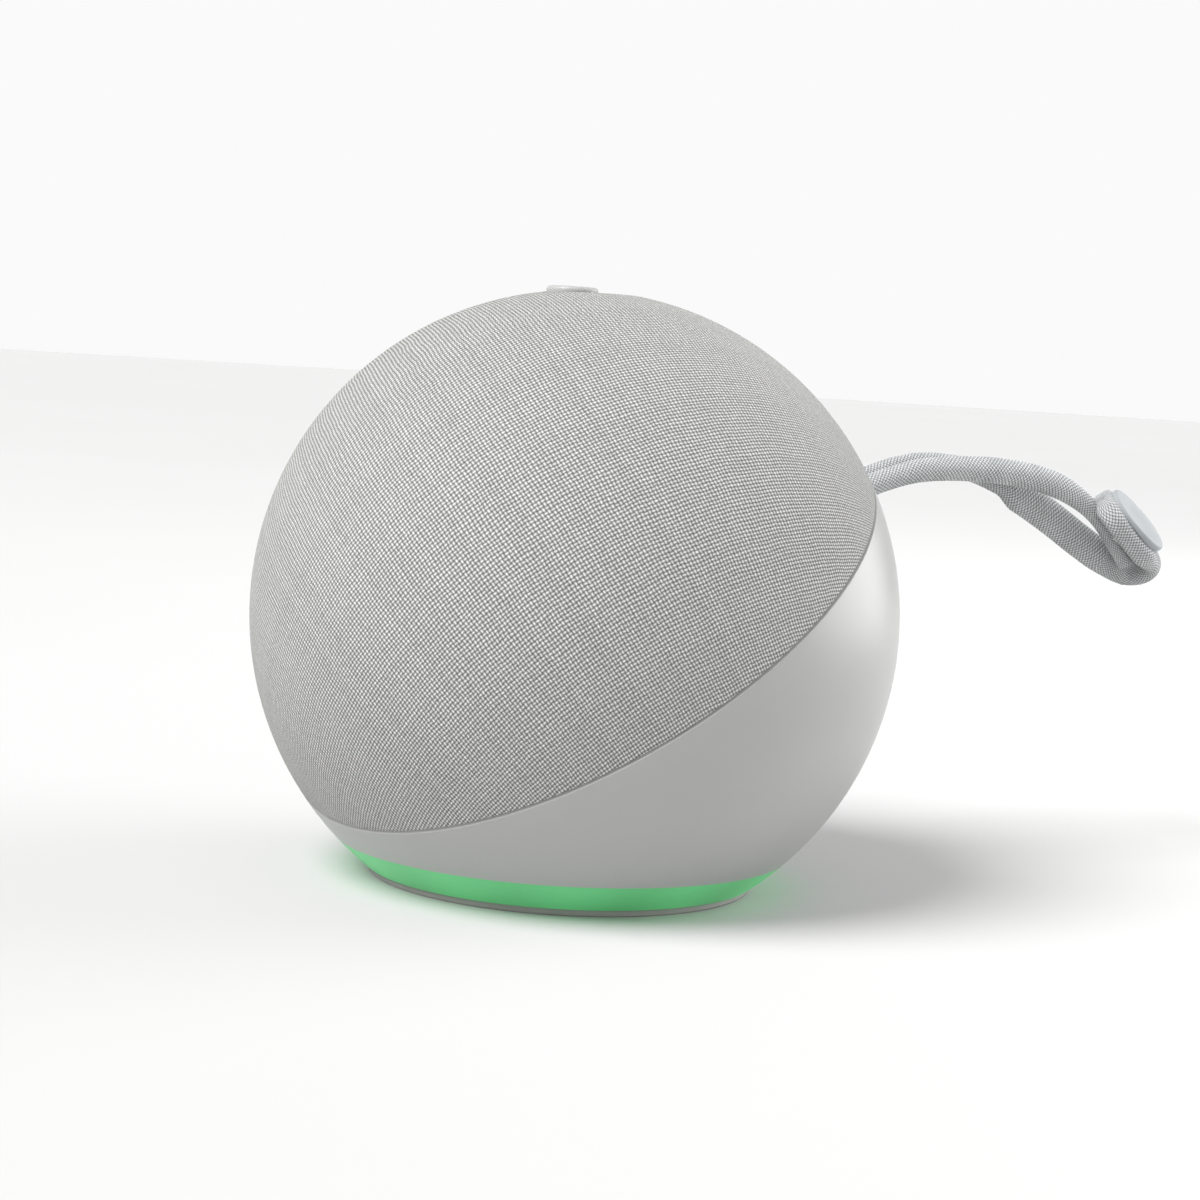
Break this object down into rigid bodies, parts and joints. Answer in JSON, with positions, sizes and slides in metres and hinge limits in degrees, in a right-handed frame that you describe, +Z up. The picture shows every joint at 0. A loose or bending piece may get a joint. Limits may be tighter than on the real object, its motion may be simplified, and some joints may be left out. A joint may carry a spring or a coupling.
{
  "type": "portable smart speaker",
  "caption": "Ball-shaped portable smart speaker with a tilted fabric grille, light ring, crown button and a woven loop strap at the back.",
  "frame": {"origin": "middle of the foot's underside, where the speaker stands", "axes": "+Z up, -Y the front that the fabric and the driver face, +Y the back where the strap leaves, +X across"},
  "size_m": [0.1, 0.1722, 0.0912],
  "materials": {
    "woven_fabric": "plain-woven polyester, light grey melange",
    "shell_plastic": "satin moulded ABS, light grey",
    "inner_plastic": "moulded ABS, black",
    "light_ring": "translucent acrylic, lit green",
    "foot_rubber": "moulded silicone, mid grey",
    "flap_rubber": "soft TPU, light grey",
    "seal_rubber": "black silicone",
    "button_plastic": "satin ABS, light grey",
    "strap_weave": "tubular woven nylon, grey",
    "cap_plastic": "moulded acetal, light grey",
    "lug_plastic": "moulded nylon, grey",
    "steel": "plain steel",
    "basket_steel": "black powder coat",
    "ferrite": "neodymium magnet, dark plated",
    "copper": "enamelled copper winding",
    "paper_cone": "pressed paper pulp, black",
    "spider_cloth": "resin-stiffened cotton",
    "battery_wrap": "foil pouch",
    "circuit_board": "solder-masked glass epoxy",
    "black_component": "moulded epoxy",
    "led_white": "moulded emitter"
  },
  "bodies": {
    "speaker": {"fabric_cover": "woven_fabric", "grille_dome": "inner_plastic", "lower_shell": "shell_plastic", "seam_gasket": "seal_rubber", "speaker_deck": "inner_plastic", "deck_screws": "steel", "driver_basket": "basket_steel", "driver_screws": "steel", "magnet_top_plate": "steel", "driver_magnet": "ferrite", "magnet_yoke": "steel", "driver_surround": "seal_rubber", "driver_spider": "spider_cloth", "battery_tray": "inner_plastic", "battery_pack": "battery_wrap", "main_board": "circuit_board", "main_board_screws": "steel", "shield_cans": "steel", "usb_board": "circuit_board", "usb_board_screws": "steel", "usb_socket": "steel", "top_board": "circuit_board", "button_switch": "black_component", "microphones": "black_component", "top_board_screws": "steel", "button_seal": "seal_rubber", "light_ring": "light_ring", "led_board": "circuit_board", "led_emitters": "led_white", "base_plate": "inner_plastic", "base_screws": "steel", "foot_ring": "foot_rubber", "strap_bar": "steel"},
    "cone": {"driver_cone": "paper_cone", "dust_cap": "paper_cone", "voice_coil": "copper"},
    "button": {"top_button": "button_plastic"},
    "flap": {"port_flap": "flap_rubber"},
    "strap": {"strap_lug": "lug_plastic", "strap_upper": "strap_weave", "strap_lower": "strap_weave", "strap_tab": "strap_weave", "snap_cap": "cap_plastic", "snap_stud": "steel"}
  },
  "joints": [
    {"name": "strap_swing", "type": "hinge", "parent": "speaker", "child": "strap", "pos_m": [0, 0.044, 0.0584], "axis": [1, 0, 0], "range_deg": [-32, 32]},
    {"name": "button_press", "type": "slide", "parent": "speaker", "child": "button", "axis": [0, 0, -1], "range_m": [0, 0.0006], "stiffness_N_per_m": 400, "springref_m": -0.0002},
    {"name": "flap_hinge", "type": "hinge", "parent": "speaker", "child": "flap", "pos_m": [0, 0.0473, 0.0254], "axis": [-1, 0, 0], "range_deg": [0, 100]},
    {"name": "cone_stroke", "type": "slide", "parent": "speaker", "child": "cone", "axis": [0, -0.5934, 0.8049], "range_m": [-0.0015, 0.0015], "stiffness_N_per_m": 800, "deforming": ["driver_surround", "driver_spider"]}
  ]
}
